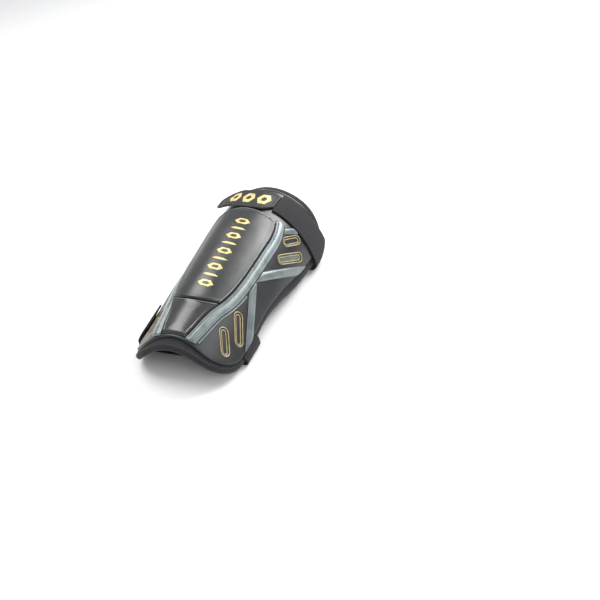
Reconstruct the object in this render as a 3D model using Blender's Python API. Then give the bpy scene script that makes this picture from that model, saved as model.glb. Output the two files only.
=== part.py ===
"""Hard-shell shin guard, lying crest up on its two elastic straps.

Metres, +Z up. X runs across the guard, Y along the leg from the ankle end to
the knee end, and the floor is z = 0. Every layer is laid out on one arched
surface, the pad's outer face: s is the distance along it from the crest, y the
place along the leg and h the height above it.
"""
import bpy
import bmesh
import math
import numpy as np

MM = 0.001

# The arched surface
GUARD_LENGTH = 236 * MM
KNEE_HALF_GIRTH = 97 * MM
CREST_HEIGHT = 70.4 * MM
ARCH_RADIUS = 37 * MM

# Columns: share of GUARD_LENGTH, crest height as a share of CREST_HEIGHT,
# radius at the crest as a share of ARCH_RADIUS, flatness of the flanks
# (0 keeps a round section, -1 opens it to a parabola)
SECTIONS = (
    (0.00, 0.553, 1.078, -0.95),
    (0.15, 0.653, 1.016, -0.88),
    (0.30, 0.747, 0.984, -0.79),
    (0.51, 0.871, 1.000, -0.66),
    (0.68, 0.956, 1.070, -0.55),
    (0.80, 0.997, 1.154, -0.47),
    (0.86, 1.000, 1.205, -0.44),
    (1.00, 0.957, 1.324, -0.36),
)

# Columns: share of GUARD_LENGTH, pad half girth as a share of KNEE_HALF_GIRTH
GIRTHS = (
    (0.00, 0.745),
    (0.15, 0.739),
    (0.30, 0.739),
    (0.38, 0.741),
    (0.51, 0.803),
    (0.60, 0.870),
    (0.68, 0.920),
    (0.80, 0.964),
    (1.00, 0.974),
)

# Columns: share of GUARD_LENGTH, bare border as a share of BORDER_SIDE
BORDERS = (
    (0.00, 0.65),
    (0.44, 0.65),
    (0.50, 0.77),
    (0.56, 0.96),
    (0.62, 1.00),
    (1.00, 1.00),
)

# Pad and shell
PAD_THICKNESS = 6.0 * MM
PAD_EDGE_ROUND = 1.6 * MM
ANKLE_END = 3 * MM
ANKLE_CORNER = (43 * MM, 37 * MM)
KNEE_CORNER = (60 * MM, 44 * MM)
BORDER_SIDE = 10 * MM
BORDER_ANKLE = 6.0 * MM
BORDER_KNEE = 10 * MM
SHELL_THICKNESS = 2.2 * MM
SHELL_ARCH_RISE = 4.5 * MM
SHELL_ARCH_HALF = 24 * MM
LAYER_GAP = 0.4 * MM

# Centre panels and rails
PANEL_HALF_GIRTH = 33.4 * MM
PANEL_RISE = 2.4 * MM
LOWER_PANEL_RISE = 1.6 * MM
PANEL_START = 15.5 * MM
PANEL_SEAM = 62 * MM
SEAM_DIP = 6 * MM
PANEL_END = 182 * MM
PANEL_END_DROP = 3.0 * MM
SEAM_GAP = 1.2 * MM
RAIL_WIDTH = 9.8 * MM
RAIL_GROOVE = 1.0 * MM
RAIL_RISE = 2.0 * MM
RAIL_START = 14 * MM
RAIL_END = 183 * MM
CHAMFER = 1.1 * MM

# Columns: share of GUARD_LENGTH, panel half girth as a share of
# PANEL_HALF_GIRTH
PANEL_EDGE = (
    (0.05, 0.315),
    (0.11, 0.41),
    (0.17, 0.49),
    (0.22, 0.575),
    (0.27, 0.705),
    (0.32, 0.80),
    (0.40, 0.89),
    (0.50, 0.945),
    (0.60, 0.98),
    (0.66, 1.00),
    (0.72, 0.965),
    (0.77, 0.87),
    (0.80, 0.82),
)

# Ribs, trim and slots, each as (s, y) at its two ends
RIB_WIDTH = 8.2 * MM
RIB_RISE = 1.9 * MM
KNEE_RIB = ((45 * MM, 118 * MM), (81 * MM, 168 * MM))
ANKLE_RIB = ((43.5 * MM, 98 * MM), (64.5 * MM, 53 * MM))
TOP_STUB = ((40.5 * MM, 177 * MM), (47 * MM, 185 * MM))
RIB_MARGIN = 0.5 * MM
STUB_WIDTH = 6.0 * MM
STUB_RISE = 1.2 * MM
TRIM_WIDTH = 1.5 * MM
TRIM_OFFSET = 0.9 * MM
TRIM_RISE = 0.8 * MM
TRIM_START = 16 * MM
TRIM_END = 88 * MM
SLOT_WIDTH = 10 * MM
SLOT_RING = 1.5 * MM
SLOT_RISE = 0.7 * MM
SLOTS = {
    "slot_ring_a": ((43.5 * MM, 65.0 * MM), (55.0 * MM, 45.5 * MM)),
    "slot_ring_b": ((38.5 * MM, 41.5 * MM), (48.0 * MM, 27.0 * MM)),
    "slot_ring_c": ((53.5 * MM, 151.0 * MM), (69.0 * MM, 173.0 * MM)),
    "slot_ring_d": ((49.0 * MM, 171.5 * MM), (57.0 * MM, 184.0 * MM)),
}

# Straps
STRAP_THICKNESS = 1.8 * MM
KNEE_STRAP_WIDTH = 29 * MM
KNEE_STRAP_FRONT_Y = 205 * MM
KNEE_STRAP_BACK_Y = 205.5 * MM
KNEE_STRAP_TUCK = 0.85
KNEE_STRAP_SEWN = 14 * MM
SEWN_GAP = 0.8 * MM
ANKLE_STRAP_WIDTH = 30 * MM
ANKLE_STRAP_Y = 53 * MM
ANKLE_STRAP_SLANT = -3 * MM
ANKLE_STRAP_SEWN = 5.0 * MM
ANKLE_STRAP_END = 46 * MM
REAR_BEND = 185  # degrees, where the turn at the left meets the pad
STRAP_BEND = 3.2 * MM
TAB_START = 21 * MM
TAB_LENGTH = 64 * MM
TAB_WIDTH = 31 * MM
TAB_THICKNESS = 2.2 * MM
TAB_STANDOFF = 7.0 * MM
TAB_CHAMFER = 9.0 * MM
TAB_TIP = 26 * MM
TAB_BOW = 5 * MM


def smooth(table, column, share):
    """Read a table's column at a share, as a curve through its rows."""
    at = np.array([row[0] for row in table])
    value = np.array([row[column] for row in table])
    slope = np.gradient(value, at)
    share = np.clip(share, at[0], at[-1])
    i = np.clip(np.searchsorted(at, share) - 1, 0, len(at) - 2)
    step = at[i + 1] - at[i]
    t = (share - at[i]) / step
    start = value[i] * (1 + 2 * t) * (1 - t) ** 2 + slope[i] * step * t * (1 - t) ** 2
    end = value[i + 1] * t * t * (3 - 2 * t) + slope[i + 1] * step * t * t * (t - 1)
    return start + end


def half_girth(y):
    """Distance from the crest to the pad's side edge, corners left square."""
    return KNEE_HALF_GIRTH * smooth(GIRTHS, 1, y / GUARD_LENGTH)


def side_border(y):
    """Width of the pad that the shell leaves bare along its sides."""
    return BORDER_SIDE * smooth(BORDERS, 1, y / GUARD_LENGTH)


def panel_edge(y):
    return PANEL_HALF_GIRTH * smooth(PANEL_EDGE, 1, y / GUARD_LENGTH)


def place(s, y, h):
    """Turn (s, y, h) on the arched surface into world points.

    The section is a conic: with slope angle a, radius r and flatness k, x is
    r sin a / q and the drop below the crest is r sin^2 a / (q (q + cos a)),
    where q = sqrt(1 + k sin^2 a). Its arc length is summed by Gauss points.
    """
    s, y, h = np.broadcast_arrays(np.asarray(s, float), y, h)
    share = y / GUARD_LENGTH
    crest = CREST_HEIGHT * smooth(SECTIONS, 1, share)
    radius = ARCH_RADIUS * smooth(SECTIONS, 2, share)
    flat = smooth(SECTIONS, 3, share)
    gauss, weight = np.polynomial.legendre.leggauss(12)
    gauss = (gauss + 1) / 2
    weight = weight / 2
    length = np.abs(s)
    angle = length / radius
    for _ in range(8):
        inside = 1 + flat[..., None] * np.sin(angle[..., None] * gauss) ** 2
        arc = radius * angle * (weight / inside ** 1.5).sum(-1)
        here = radius / (1 + flat * np.sin(angle) ** 2) ** 1.5
        angle = angle - (arc - length) / here
    q = np.sqrt(1 + flat * np.sin(angle) ** 2)
    x = radius * np.sin(angle) / q + h * np.sin(angle)
    drop = radius * np.sin(angle) ** 2 / (q * (q + np.cos(angle)))
    z = crest - drop + h * np.cos(angle)
    return np.stack([np.sign(s) * x, y, z], -1)


def material(name, colour, roughness, metallic=0.0):
    made = bpy.data.materials.new(name)
    made.use_nodes = True
    shader = made.node_tree.nodes["Principled BSDF"]
    shader.inputs["Base Color"].default_value = (*colour, 1.0)
    shader.inputs["Roughness"].default_value = roughness
    shader.inputs["Metallic"].default_value = metallic
    return made


def slab(name, low, high, finish, ring=False):
    """One closed body between two grids of points, low side and high side."""
    rows, columns = low.shape[:2]
    mesh = bmesh.new()
    grids = [[[mesh.verts.new(p) for p in row] for row in side] for side in (low, high)]
    last = rows if ring else rows - 1
    for side in grids:
        for i in range(last):
            for j in range(columns - 1):
                k = (i + 1) % rows
                mesh.faces.new((side[i][j], side[k][j], side[k][j + 1], side[i][j + 1]))
    under, over = grids
    for j in (0, columns - 1):
        for i in range(last):
            k = (i + 1) % rows
            mesh.faces.new((under[i][j], under[k][j], over[k][j], over[i][j]))
    if not ring:
        for i in (0, rows - 1):
            for j in range(columns - 1):
                mesh.faces.new((under[i][j], under[i][j + 1], over[i][j + 1], over[i][j]))
    bmesh.ops.recalc_face_normals(mesh, faces=mesh.faces)
    data = bpy.data.meshes.new(name)
    mesh.to_mesh(data)
    mesh.free()
    data.materials.append(finish)
    data.shade_smooth()
    data.set_sharp_from_angle(angle=math.radians(38))
    made = bpy.data.objects.new(name, data)
    bpy.context.scene.collection.objects.link(made)
    return made


def corner_rows(length, low_corner, high_corner, middle):
    """Stations from 0 to length, closer together in the rounded corners."""
    turn = np.radians(np.linspace(0, 90, 7))
    start = low_corner * (1 - np.cos(turn))
    end = length - high_corner * (1 - np.cos(turn[::-1]))
    body = np.linspace(low_corner, length - high_corner, middle)[1:-1]
    return np.concatenate([start, body, end])


def corner_cut(distance, corner):
    """How far an elliptic corner (across, along) draws the side in."""
    across, along = corner
    t = np.clip(1 - distance / along, 0, 1)
    return across * (1 - np.sqrt(1 - t * t))


def outline(bare, ankle, knee, columns, middle):
    """Grid of (s, y) over the pad, or bare of its borders if bare is 1."""
    ankle = ANKLE_END + ankle
    length = GUARD_LENGTH - ankle - knee
    side = bare * side_border(ANKLE_END)
    start = (ANKLE_CORNER[0] - side, ANKLE_CORNER[1] - side)
    side = bare * side_border(GUARD_LENGTH)
    end = (KNEE_CORNER[0] - side, KNEE_CORNER[1] - side)
    row = corner_rows(length, start[1], end[1], middle)
    half = half_girth(row + ankle) - bare * side_border(row + ankle)
    half = half - corner_cut(row, start) - corner_cut(length - row, end)
    across = np.linspace(-1, 1, columns)
    s = half[:, None] * across
    y = np.repeat((row + ankle)[:, None], columns, 1)
    return s, y


def round_rim(s, y, depth):
    """Heights that roll a grid's outermost cells down by a depth."""
    h = np.zeros_like(s)
    h[0] = h[-1] = -depth
    h[:, 0] = h[:, -1] = -depth
    return h


def pad(finish):
    s, y = outline(0, 0, 0, 29, 16)
    pull = 1 - PAD_EDGE_ROUND / KNEE_HALF_GIRTH
    s[:, 1] = s[:, 0] * pull
    s[:, -2] = s[:, -1] * pull
    roll = round_rim(s, y, PAD_EDGE_ROUND)
    slab("foam_pad", place(s, y, -PAD_THICKNESS - roll), place(s, y, roll), finish)


def shell(finish):
    s, y = outline(1, BORDER_ANKLE, BORDER_KNEE, 25, 15)
    fade = np.clip(1 - (y - y[0]) / PANEL_SEAM, 0, 1)
    y = y + SHELL_ARCH_RISE * fade * np.exp(-(s / SHELL_ARCH_HALF) ** 2)
    low = place(s, y, LAYER_GAP)
    high = place(s, y, LAYER_GAP + SHELL_THICKNESS + round_rim(s, y, SHELL_THICKNESS / 2))
    slab("hard_shell", low, high, finish)


def on_shell():
    """Height of the first face above the shell."""
    return LAYER_GAP * 2 + SHELL_THICKNESS


def centre_panel(name, start, end, drops, rise, finish):
    """A raised panel whose sides follow the rails.

    Its start dips towards the ankle at the crest by drops[0], and so does its
    end by drops[1]. The end's corners are cut back by drops[2].
    """
    row = np.linspace(start, end, 12)
    across = np.linspace(-1, 1, 15)
    s = panel_edge(row)[:, None] * across
    fade = (row - start) / (end - start)
    arch = 1 - across ** 2
    y = row[:, None] - arch * (drops[0] * (1 - fade) + drops[1] * fade)[:, None]
    y = y - drops[2] * (fade ** 6)[:, None] * across ** 2
    ends = (row - row[0] < 1e-9) | (row[-1] - row < 1e-9)
    edge = np.isclose(np.abs(across), 1)
    chamfer = (CHAMFER / 2) * (ends[:, None] | edge[None, :])
    low = place(s, y, on_shell())
    slab(name, low, place(s, y, on_shell() + rise - chamfer), finish)


def strip(name, s, y, rise, finish, base=None):
    """A bar over the shell: columns run edge, top, top, edge."""
    base = on_shell() if base is None else base
    top = np.array([rise - CHAMFER, rise, rise, rise - CHAMFER])
    top = np.maximum(top, rise / 2)
    slab(name, place(s, y, base), place(s, y, base + top + 0 * s), finish)


def rail(side, name, finish):
    """Bar along one side of the centre panels."""
    row = np.linspace(RAIL_START, RAIL_END, 20)
    inner = panel_edge(row) + RAIL_GROOVE
    share = np.array([0, CHAMFER / RAIL_WIDTH, 1 - CHAMFER / RAIL_WIDTH, 1])
    s = side * (inner[:, None] + RAIL_WIDTH * share)
    y = np.repeat(row[:, None], 4, 1)
    strip(name, s, y, RAIL_RISE, finish)


def trim(side, name, finish):
    """Thin raised line outside the rail's ankle half."""
    row = np.linspace(TRIM_START, TRIM_END, 12)
    inner = panel_edge(row) + RAIL_GROOVE + RAIL_WIDTH + TRIM_OFFSET
    share = np.array([0, 0.3, 0.7, 1])
    s = side * (inner[:, None] + TRIM_WIDTH * share)
    y = np.repeat(row[:, None], 4, 1)
    strip(name, s, y, TRIM_RISE, finish)


def past_rail(s, y):
    """Distance outside the rail's outer edge."""
    return s - panel_edge(y) - RAIL_GROOVE - RAIL_WIDTH - LAYER_GAP


def within_shell(s, y):
    """Distance inside the shell's side edge."""
    return half_girth(y) - side_border(y) - RIB_MARGIN - s


def below_knee_rib(s, y):
    """Distance on the ankle side of the knee rib's lower edge."""
    start, end = np.array(KNEE_RIB)
    along = (end - start) / np.linalg.norm(end - start)
    return along[1] * (s - start[0]) - along[0] * (y - start[1]) - RIB_WIDTH / 2 - LAYER_GAP


def below_knee_strap(s, y):
    """Distance on the ankle side of the knee strap's lower edge."""
    return KNEE_STRAP_FRONT_Y - KNEE_STRAP_WIDTH / 2 - LAYER_GAP - y


def bar(side, name, ends, width, rise, finish, starts, stops):
    """A straight bar, each of its edges run on until it meets its limits."""
    start, end = np.array(ends)
    along = (end - start) / np.linalg.norm(end - start)
    across = np.array([along[1], -along[0]])
    t = np.linspace(-0.8, 1.8, 400)
    chamfer = CHAMFER / width
    s = []
    y = []
    for offset in width * (np.array([0, chamfer, 1 - chamfer, 1]) - 0.5):
        line = start + (end - start) * t[:, None] + across * offset
        free = np.min([limit(*line.T) for limit in starts], axis=0)
        room = np.min([limit(*line.T) for limit in stops], axis=0)
        share = np.linspace(np.interp(0, free, t), np.interp(0, -room, t), 8)
        s.append(np.interp(share, t, line[:, 0]))
        y.append(np.interp(share, t, line[:, 1]))
    strip(name, side * np.stack(s, 1), np.stack(y, 1), rise, finish)


def slot_ring(side, name, ends, finish):
    """A flat raised outline round a long slot with round ends."""
    (s0, y0), (s1, y1) = ends
    heading = math.atan2(y1 - y0, s1 - s0)
    turn = np.radians(np.linspace(-90, 90, 7))
    angle = np.concatenate([turn, turn + math.pi]) + heading
    centre_s = np.where(np.arange(14) < 7, s1, s0)
    centre_y = np.where(np.arange(14) < 7, y1, y0)
    radius = np.array([SLOT_WIDTH / 2 - SLOT_RING, SLOT_WIDTH / 2])
    s = side * (centre_s[:, None] + radius * np.cos(angle)[:, None])
    y = centre_y[:, None] + radius * np.sin(angle)[:, None]
    slab(name, place(s, y, on_shell()), place(s, y, on_shell() + SLOT_RISE), finish, ring=True)


def bend(x, z, start, end):
    """Points round a strap's bend, by angle in degrees, as x and z."""
    angle = np.radians(np.linspace(start, end, 6))
    return np.stack([x + STRAP_BEND * np.cos(angle), z + STRAP_BEND * np.sin(angle)], -1)


def band(name, width, path_at, finish):
    """A strap: one path of x, y, z points in each of several planes."""
    low = []
    high = []
    for share in np.linspace(-0.5, 0.5, 5):
        path = path_at(share * width)
        step = np.gradient(path[:, [0, 2]], axis=0)
        step = step / np.linalg.norm(step, axis=1, keepdims=True)
        normal = np.stack([-step[:, 1], 0 * step[:, 0], step[:, 0]], -1)
        low.append(path - normal * STRAP_THICKNESS / 2)
        high.append(path + normal * STRAP_THICKNESS / 2)
    slab(name, np.stack(low, 1), np.stack(high, 1), finish)


def at_y(flat_path, y):
    """Give an x, z path its place along the leg."""
    return np.stack([flat_path[:, 0], np.full(len(flat_path), y), flat_path[:, 1]], -1)


def swoop(start, end):
    """Quarter of an ellipse from a downward start to a level end, as x, z."""
    angle = np.radians(np.linspace(0, 90, 7))[1:]
    x = end[0] + (start[0] - end[0]) * np.cos(angle)
    z = start[1] + (end[1] - start[1]) * np.sin(angle)
    return np.stack([x, z], -1)


def knee_strap_path(offset):
    """Front of the shell, down the right flank, under, and up inside left.

    Where the pad's corner is rounded, the strap is drawn in after it.
    """
    middle = STRAP_THICKNESS / 2
    back = KNEE_STRAP_BACK_Y + offset
    tuck = KNEE_STRAP_TUCK * corner_cut(GUARD_LENGTH - back, KNEE_CORNER)
    s = np.linspace(TAB_START + LAYER_GAP, half_girth(back) - STRAP_BEND - tuck, 15)
    fade = (s - s[0]) / (s[-1] - s[0])
    y = KNEE_STRAP_FRONT_Y + (KNEE_STRAP_BACK_Y - KNEE_STRAP_FRONT_Y) * fade + offset
    front = place(s, y, on_shell() + middle)
    x, _, z = front[-1]
    under = swoop((x, z), (x - 0.9 * (z - middle), middle))
    s = -half_girth(back) + np.linspace(2 * STRAP_BEND, KNEE_STRAP_SEWN, 4)
    sewn = place(s, back, -PAD_THICKNESS - SEWN_GAP - middle)
    left = place(-half_girth(back), back, -PAD_THICKNESS - SEWN_GAP - middle)[0]
    turn = bend(left + STRAP_BEND, STRAP_BEND + middle, 270, REAR_BEND)
    flat = np.linspace(under[-1], turn[0], 9)[1:-1]
    return np.concatenate([front, at_y(np.concatenate([under, flat, turn]), back), sewn])


def ankle_strap_path(offset):
    """From the right border round under the pad, and over the left ribs."""
    middle = STRAP_THICKNESS / 2
    right_y = ANKLE_STRAP_Y + offset
    left_y = right_y + ANKLE_STRAP_SLANT
    s = np.linspace(half_girth(right_y) - ANKLE_STRAP_SEWN, half_girth(right_y), 4)
    start = place(s, right_y, LAYER_GAP + middle)
    s = -np.linspace(half_girth(left_y) - ANKLE_STRAP_SEWN, ANKLE_STRAP_END, 8)
    end = place(s, left_y, on_shell() + RIB_RISE + LAYER_GAP + middle)
    x = start[-1, 0] + LAYER_GAP
    left_x = end[0, 0] - LAYER_GAP
    right = bend(x - STRAP_BEND, STRAP_BEND + middle, 0, -90)
    left = bend(left_x + STRAP_BEND, STRAP_BEND + middle, 270, 180)
    flat = np.linspace(right[-1], left[0], 9)[1:-1]
    under = at_y(np.concatenate([right, flat, left]), right_y)
    across = np.clip((x - under[:, 0]) / (x - left_x), 0, 1)
    under[:, 1] = right_y + ANKLE_STRAP_SLANT * across
    return np.concatenate([start, under, end])


def tab(finish):
    """Strap end over the crest, its tip standing off the left flank."""
    above = on_shell() + TAB_THICKNESS / 2
    t = np.linspace(0, 1, 20)
    across = np.linspace(-0.5, 0.5, 7)
    s = TAB_START - TAB_LENGTH * t
    near_start = np.clip(s[0] - s, 0, TAB_CHAMFER)
    near_tip = np.clip(s - s[-1], 0, TAB_TIP)
    width = TAB_WIDTH - 2 * (TAB_CHAMFER - near_start) * 0.6
    width = np.minimum(width, TAB_WIDTH * (0.34 + 0.66 * np.sqrt(near_tip / TAB_TIP)))
    lean = np.clip(-s / (TAB_LENGTH - TAB_START), 0, 1)
    middle = KNEE_STRAP_FRONT_Y - TAB_BOW * np.clip(1 - (s / TAB_START) ** 2, 0, 1)
    y = middle[:, None] + width[:, None] * across
    lift = (TAB_STANDOFF * lean ** 2)[:, None]
    grid = np.repeat(s[:, None], 7, 1)
    low = place(grid, y, above + lift - TAB_THICKNESS / 2)
    slab("strap_tab", low, place(grid, y, above + lift + TAB_THICKNESS / 2), finish)


def centre_on_origin():
    """Move every piece so that the origin is under the middle of them all."""
    pieces = bpy.context.scene.collection.objects
    points = np.array([v.co[:] for piece in pieces for v in piece.data.vertices])
    middle = (points.min(0) + points.max(0)) / 2
    for piece in pieces:
        piece.location = (-middle[0], -middle[1], -points[:, 2].min())


def main():
    for old in list(bpy.data.objects):
        bpy.data.objects.remove(old, do_unlink=True)

    foam = material("foam_under_fabric", (0.03, 0.03, 0.032), 0.85)
    plastic = material("satin_black_plastic", (0.045, 0.046, 0.05), 0.38)
    gloss = material("gloss_black_plastic", (0.06, 0.06, 0.065), 0.25)
    silver = material("silver_paint", (0.33, 0.38, 0.41), 0.35, 0.4)
    gold = material("gold_print", (0.75, 0.66, 0.30), 0.4, 0.2)
    elastic = material("elastic_webbing", (0.05, 0.05, 0.052), 0.9)
    rubber = material("moulded_rubber", (0.06, 0.06, 0.062), 0.6)

    pad(foam)
    shell(plastic)
    seam = PANEL_SEAM
    upper = (SEAM_DIP, 0, PANEL_END_DROP)
    lower = (0, SEAM_DIP, 0)
    centre_panel("upper_panel", seam + SEAM_GAP, PANEL_END, upper, PANEL_RISE, plastic)
    centre_panel("lower_panel", PANEL_START, seam, lower, LOWER_PANEL_RISE, gloss)

    for side, hand in ((-1, "left"), (1, "right")):
        rail(side, f"rail_{hand}", silver)
        trim(side, f"trim_line_{hand}", silver)
        rib = (RIB_WIDTH, RIB_RISE, silver)
        outer = [within_shell]
        bar(side, f"knee_rib_{hand}", KNEE_RIB, *rib, [past_rail], outer)
        bar(side, f"ankle_rib_{hand}", ANKLE_RIB, *rib, [past_rail, below_knee_rib], outer)
        stub = (STUB_WIDTH, STUB_RISE, silver)
        bar(side, f"top_stub_{hand}", TOP_STUB, *stub, [past_rail], [below_knee_strap])
        for name, ends in SLOTS.items():
            slot_ring(side, f"{name}_{hand}", ends, gold)

    band("knee_strap", KNEE_STRAP_WIDTH, knee_strap_path, elastic)
    band("ankle_strap", ANKLE_STRAP_WIDTH, ankle_strap_path, elastic)
    tab(rubber)
    centre_on_origin()


main()
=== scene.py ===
import math
import bmesh
import bpy
import numpy as np
from mathutils import Matrix, Vector


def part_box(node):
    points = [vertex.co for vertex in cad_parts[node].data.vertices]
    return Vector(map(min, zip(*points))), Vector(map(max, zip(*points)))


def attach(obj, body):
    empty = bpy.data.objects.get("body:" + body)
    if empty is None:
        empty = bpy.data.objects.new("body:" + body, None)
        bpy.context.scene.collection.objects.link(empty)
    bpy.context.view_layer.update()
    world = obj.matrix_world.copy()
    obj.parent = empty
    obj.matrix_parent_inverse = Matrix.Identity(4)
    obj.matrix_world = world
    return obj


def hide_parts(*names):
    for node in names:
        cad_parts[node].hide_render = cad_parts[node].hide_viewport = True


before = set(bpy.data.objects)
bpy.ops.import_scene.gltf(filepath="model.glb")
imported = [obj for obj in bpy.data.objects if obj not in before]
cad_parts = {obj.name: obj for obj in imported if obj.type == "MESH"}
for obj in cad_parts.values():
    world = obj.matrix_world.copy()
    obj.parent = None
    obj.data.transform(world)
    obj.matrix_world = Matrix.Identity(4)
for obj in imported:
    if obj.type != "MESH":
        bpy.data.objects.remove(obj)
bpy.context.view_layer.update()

mm = 0.001
print("frame loaded")


# The arched surface that every layer follows
guard = {
    "length": 236 * mm,
    "ankleEnd": 3 * mm,
    "kneeHalfGirth": 97 * mm,
    "crestHeight": 70.4 * mm,
    "archRadius": 37 * mm,
    "padThickness": 6.0 * mm,
    "ankleCorner": (43 * mm, 37 * mm),
    "kneeCorner": (60 * mm, 44 * mm),
    "borderSide": 10 * mm,
    "borderAnkle": 6.0 * mm,
    "borderKnee": 10 * mm,
    "layerGap": 0.4 * mm,
    "shellThickness": 2.2 * mm,
    "panelSeam": 62 * mm,
    "kneeStrapY": 205 * mm,
    "kneeStrapWidth": 29 * mm,
    "tabStart": 21 * mm,
    "wide": 0.85,  # usual half girth, share of the knee end's, for spacing the grid
    # share of length, crest share, radius share, flatness of the flanks
    "sections": (
        (0.00, 0.553, 1.078, -0.95),
        (0.15, 0.653, 1.016, -0.88),
        (0.30, 0.747, 0.984, -0.79),
        (0.51, 0.871, 1.000, -0.66),
        (0.68, 0.956, 1.070, -0.55),
        (0.80, 0.997, 1.154, -0.47),
        (0.86, 1.000, 1.205, -0.44),
        (1.00, 0.957, 1.324, -0.36),
    ),
    # share of length, half girth share
    "girths": (
        (0.00, 0.745),
        (0.15, 0.739),
        (0.30, 0.739),
        (0.38, 0.741),
        (0.51, 0.803),
        (0.60, 0.870),
        (0.68, 0.920),
        (0.80, 0.964),
        (1.00, 0.974),
    ),
    # share of length, bare border share
    "borders": (
        (0.00, 0.65),
        (0.44, 0.65),
        (0.50, 0.77),
        (0.56, 0.96),
        (0.62, 1.00),
        (1.00, 1.00),
    ),
}

padLow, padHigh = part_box("foam_pad")
shift = np.array([(padLow[0] + padHigh[0]) / 2, padLow[1] - guard["ankleEnd"], 0])


def readColumn(table, column, share):
    # a smooth curve through the table's rows, read at each share
    rows = np.array(table)
    at, value = rows[:, 0], rows[:, column]
    slope = np.gradient(value, at)
    share = np.clip(share, at[0], at[-1])
    i = np.clip(np.searchsorted(at, share) - 1, 0, len(at) - 2)
    step = at[i + 1] - at[i]
    t = (share - at[i]) / step
    start = value[i] * (1 + 2 * t) * (1 - t) ** 2 + slope[i] * step * t * (1 - t) ** 2
    end = value[i + 1] * t * t * (3 - 2 * t) + slope[i + 1] * step * t * t * (t - 1)
    return start + end


def halfGirth(y):
    # arc length from the crest to the pad's side: the knee end's half girth times its share at y
    return guard["kneeHalfGirth"] * readColumn(guard["girths"], 1, y / guard["length"])


def sideBorder(y):
    # how much of the pad shows beside the shell at y
    return guard["borderSide"] * readColumn(guard["borders"], 1, y / guard["length"])


def placeOnGuard(s, y, h):
    # x = r sin a / q and drop = r sin^2 a / (q (q + cos a)) with q = sqrt(1 + k sin^2 a);
    # the slope angle a is found from the arc length s, and h is added along the normal
    s, y, h = np.broadcast_arrays(np.asarray(s, float), y, h)
    share = y / guard["length"]
    crest = guard["crestHeight"] * readColumn(guard["sections"], 1, share)
    radius = guard["archRadius"] * readColumn(guard["sections"], 2, share)
    flat = readColumn(guard["sections"], 3, share)
    gauss, weight = np.polynomial.legendre.leggauss(10)
    gauss, weight = (gauss + 1) / 2, weight / 2
    length = np.abs(s)
    angle = length / radius
    for turn in range(6):
        arc = np.zeros_like(angle)
        for g, w in zip(gauss, weight):
            arc += w / (1 + flat * np.sin(angle * g) ** 2) ** 1.5
        here = radius / (1 + flat * np.sin(angle) ** 2) ** 1.5
        angle = angle - (radius * angle * arc - length) / here
    q = np.sqrt(1 + flat * np.sin(angle) ** 2)
    x = radius * np.sin(angle) / q + h * np.sin(angle)
    drop = radius * np.sin(angle) ** 2 / (q * (q + np.cos(angle)))
    return np.stack([np.sign(s) * x, y, crest - drop + h * np.cos(angle)], -1) + shift


def cornerCut(distance, corner):
    # how far an elliptic corner (across, along) draws the side in
    across, along = corner
    t = np.clip(1 - distance / along, 0, 1)
    return across * (1 - np.sqrt(1 - t * t))


def roundEdge(distance, radius):
    # 0 at the edge, 1 from one radius in: a quarter circle
    t = np.clip(1 - distance / radius, 0, 1)
    return np.sqrt(1 - t * t)


def softStep(low, high, value):
    # 0 below low, 1 above high, and 3 t^2 - 2 t^3 between
    t = np.clip((value - low) / (high - low), 0, 1)
    return t * t * (3 - 2 * t)


def spread(length, step, edge):
    # places from 0 to length, crowded within one edge width of both ends
    near = edge * (1 - np.cos(np.radians(np.linspace(0, 90, 6))))
    middle = np.linspace(edge, length - edge, max(3, int((length - 2 * edge) / step)))
    return np.concatenate([near[:-1], middle, length - near[:-1][::-1]])


def travelled(path):
    # distance along a run of points, from its first one
    return np.concatenate([[0], np.cumsum(np.linalg.norm(np.diff(path, axis=0), axis=1))])


# Meshes

def makeObject(name, points, faces, uv=None, sharp=50):
    data = bpy.data.meshes.new(name)
    data.from_pydata(points.tolist(), [], faces.tolist() if hasattr(faces, "tolist") else faces)
    if uv is not None:
        layer = data.uv_layers.new(name="lay")
        index = np.empty(len(data.loops), dtype=np.int32)
        data.loops.foreach_get("vertex_index", index)
        layer.data.foreach_set("uv", uv[index].astype(np.float32).ravel())
    work = bmesh.new()
    work.from_mesh(data)
    bmesh.ops.remove_doubles(work, verts=work.verts, dist=1e-6)
    bmesh.ops.dissolve_degenerate(work, dist=1e-7, edges=work.edges)
    bmesh.ops.recalc_face_normals(work, faces=work.faces)
    work.to_mesh(data)
    work.free()
    data.shade_smooth()
    data.set_sharp_from_angle(angle=math.radians(sharp))
    made = bpy.data.objects.new(name, data)
    bpy.context.scene.collection.objects.link(made)
    return made


def gridFaces(rows, columns, start=0, closeRows=False, closeColumns=False, flip=False):
    i = np.arange(rows if closeRows else rows - 1)[:, None]
    j = np.arange(columns if closeColumns else columns - 1)[None, :]
    k, m = (i + 1) % rows, (j + 1) % columns
    face = np.stack([i * columns + j, k * columns + j, k * columns + m, i * columns + m], -1)
    face = face.reshape(-1, 4) + start
    return face[:, ::-1] if flip else face


def makeSlab(name, low, high, uv=None):
    # two grids of points whose rims are joined; rims that meet are welded
    rows, columns = low.shape[:2]
    count = rows * columns
    points = np.concatenate([low.reshape(-1, 3), high.reshape(-1, 3)])
    index = np.arange(count).reshape(rows, columns)
    rim = np.concatenate([index[0, :-1], index[:-1, -1], index[-1, :0:-1], index[:0:-1, 0]])
    after = np.roll(rim, -1)
    side = np.stack([rim, after, after + count, rim + count], -1)
    bottom = gridFaces(rows, columns, 0, flip=True)
    faces = np.concatenate([bottom, gridFaces(rows, columns, count), side])
    both = None if uv is None else np.concatenate([uv.reshape(-1, 2)] * 2)
    return makeObject(name, points, faces, both)


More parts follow.
